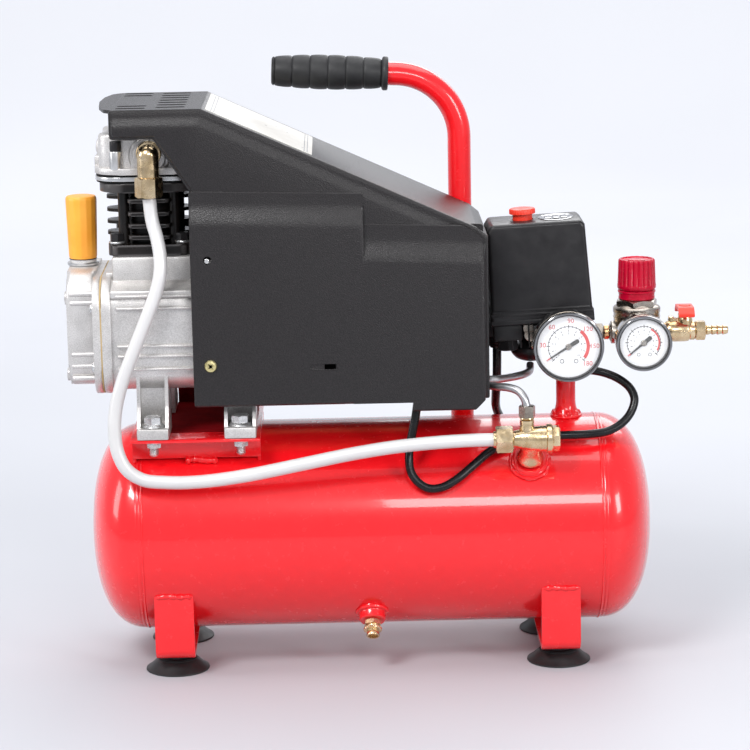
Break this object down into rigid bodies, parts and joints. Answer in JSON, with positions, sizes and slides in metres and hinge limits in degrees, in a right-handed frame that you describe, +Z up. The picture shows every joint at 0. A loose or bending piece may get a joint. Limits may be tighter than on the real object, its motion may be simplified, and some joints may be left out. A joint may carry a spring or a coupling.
{
  "type": "portable piston air compressor",
  "caption": "Portable direct-drive piston air compressor with a horizontal red receiver, black motor shroud, carrying handle, pressure switch, gauges and regulator.",
  "frame": {"origin": "centre of the bounding box's base, on the floor the rubber feet stand on, the loose mains cord left out", "axes": "+X along the receiver towards the outlet, -Y towards the gauges and the check valve, +Z up"},
  "size_m": [0.5038, 0.2936, 0.4566],
  "materials": {
    "red_paint": "glossy enamel",
    "foot_rubber": "matt",
    "cord_rubber": "satin",
    "cast_aluminium": "as cast",
    "black_iron": "black enamel",
    "steel": "zinc plated",
    "regulator_metal": "dark nickel",
    "brass": "machined",
    "white_tube": "silver-white lacquer",
    "black_plastic": "fine moulded grain",
    "chrome": "polished bezel",
    "needle_black": "satin",
    "red_plastic": "satin",
    "breather_plastic": "satin",
    "sight_glass": "clear"
  },
  "bodies": {
    "frame": {"tank_shell": "red_paint", "tank_end_left": "red_paint", "tank_end_right": "red_paint", "leg_left": "red_paint", "leg_right": "red_paint", "foot_front_left": "foot_rubber", "foot_front_right": "foot_rubber", "foot_rear_left": "foot_rubber", "foot_rear_right": "foot_rubber", "motor_base_bracket": "red_paint", "drain_cock_body": "brass", "handle_tube": "red_paint", "handle_grip": "foot_rubber", "crankcase": "cast_aluminium", "crankcase_cover": "cast_aluminium", "oil_sight_glass": "sight_glass", "cylinder": "black_iron", "valve_plate": "steel", "cylinder_head": "cast_aluminium", "head_elbow": "brass", "discharge_tube": "white_tube", "lug_bolt_front_left": "steel", "lug_bolt_front_right": "steel", "lug_bolt_rear_left": "steel", "lug_bolt_rear_right": "steel", "stator": "steel", "shroud": "black_plastic", "check_valve": "brass", "unloader_tube": "steel", "manifold_post": "red_paint", "manifold_block": "brass", "regulator_nipple": "steel", "switch_cover": "black_plastic", "switch_base": "black_plastic", "mains_gland": "black_plastic", "motor_gland": "black_plastic", "tank_gauge_case": "chrome", "outlet_gauge_case": "chrome", "regulator_body": "regulator_metal", "regulator_lock_ring": "red_plastic", "safety_valve": "brass", "ball_valve_body": "brass", "hose_barb": "brass", "motor_cable": "cord_rubber", "mains_cord": "cord_rubber", "mains_cord_coil": "cord_rubber", "mains_plug": "cord_rubber"},
    "crank_assembly": {"crankshaft": "steel", "rotor": "steel", "cooling_fan": "black_plastic"},
    "piston": {"piston": "cast_aluminium"},
    "connecting_rod": {"connecting_rod": "cast_aluminium"},
    "switch_knob": {"switch_knob": "red_plastic"},
    "regulator_knob": {"regulator_knob": "red_plastic"},
    "ball_valve_lever": {"ball_valve_lever": "red_plastic"},
    "tank_gauge_needle": {"tank_gauge_needle": "needle_black"},
    "outlet_gauge_needle": {"outlet_gauge_needle": "needle_black"},
    "drain_cock_screw": {"drain_cock_screw": "brass"},
    "safety_valve_ring": {"safety_valve_ring": "steel"},
    "oil_breather_cap": {"oil_breather_cap": "breather_plastic"}
  },
  "joints": [
    {"name": "motor_spin", "type": "hinge", "parent": "frame", "child": "crank_assembly", "pos_m": [-0.0227, 0.0004, 0.258], "axis": [1, 0, 0], "continuous": true},
    {"name": "piston_stroke", "type": "slide", "parent": "frame", "child": "piston", "axis": [0, 0, 1], "range_m": [0, 0.032]},
    {"name": "rod_swing", "type": "hinge", "parent": "piston", "child": "connecting_rod", "pos_m": [-0.1857, 0.0004, 0.322], "axis": [1, 0, 0], "range_deg": [-11.5, 11.5]},
    {"name": "switch_knob_push", "type": "slide", "parent": "frame", "child": "switch_knob", "axis": [-0.0436, 0, 0.999], "range_m": [-0.0038, 0]},
    {"name": "regulator_knob_turn", "type": "hinge", "parent": "frame", "child": "regulator_knob", "pos_m": [0.1819, 0.0004, 0.29], "axis": [0, 0, 1], "range_deg": [-720, 720]},
    {"name": "ball_valve_turn", "type": "hinge", "parent": "frame", "child": "ball_valve_lever", "pos_m": [0.2188, 0.0004, 0.263], "axis": [0, 0, 1], "range_deg": [0, 90]},
    {"name": "tank_gauge_read", "type": "hinge", "parent": "frame", "child": "tank_gauge_needle", "pos_m": [0.1251, -0.0546, 0.2465], "axis": [0, 1, 0], "range_deg": [0, 250]},
    {"name": "outlet_gauge_read", "type": "hinge", "parent": "frame", "child": "outlet_gauge_needle", "pos_m": [0.1823, -0.0466, 0.2465], "axis": [0, 1, 0], "range_deg": [0, 250]},
    {"name": "drain_screw_turn", "type": "hinge", "parent": "frame", "child": "drain_cock_screw", "pos_m": [-0.0252, -0.0625, 0.03314], "axis": [0, -0.6691, -0.7431], "range_deg": [0, 720]},
    {"name": "safety_ring_pull", "type": "slide", "parent": "frame", "child": "safety_valve_ring", "axis": [0, 1, 0], "range_m": [0, 0.003]},
    {"name": "breather_lift", "type": "slide", "parent": "frame", "child": "oil_breather_cap", "axis": [0, 0, 1], "range_m": [0, 0.04]}
  ]
}
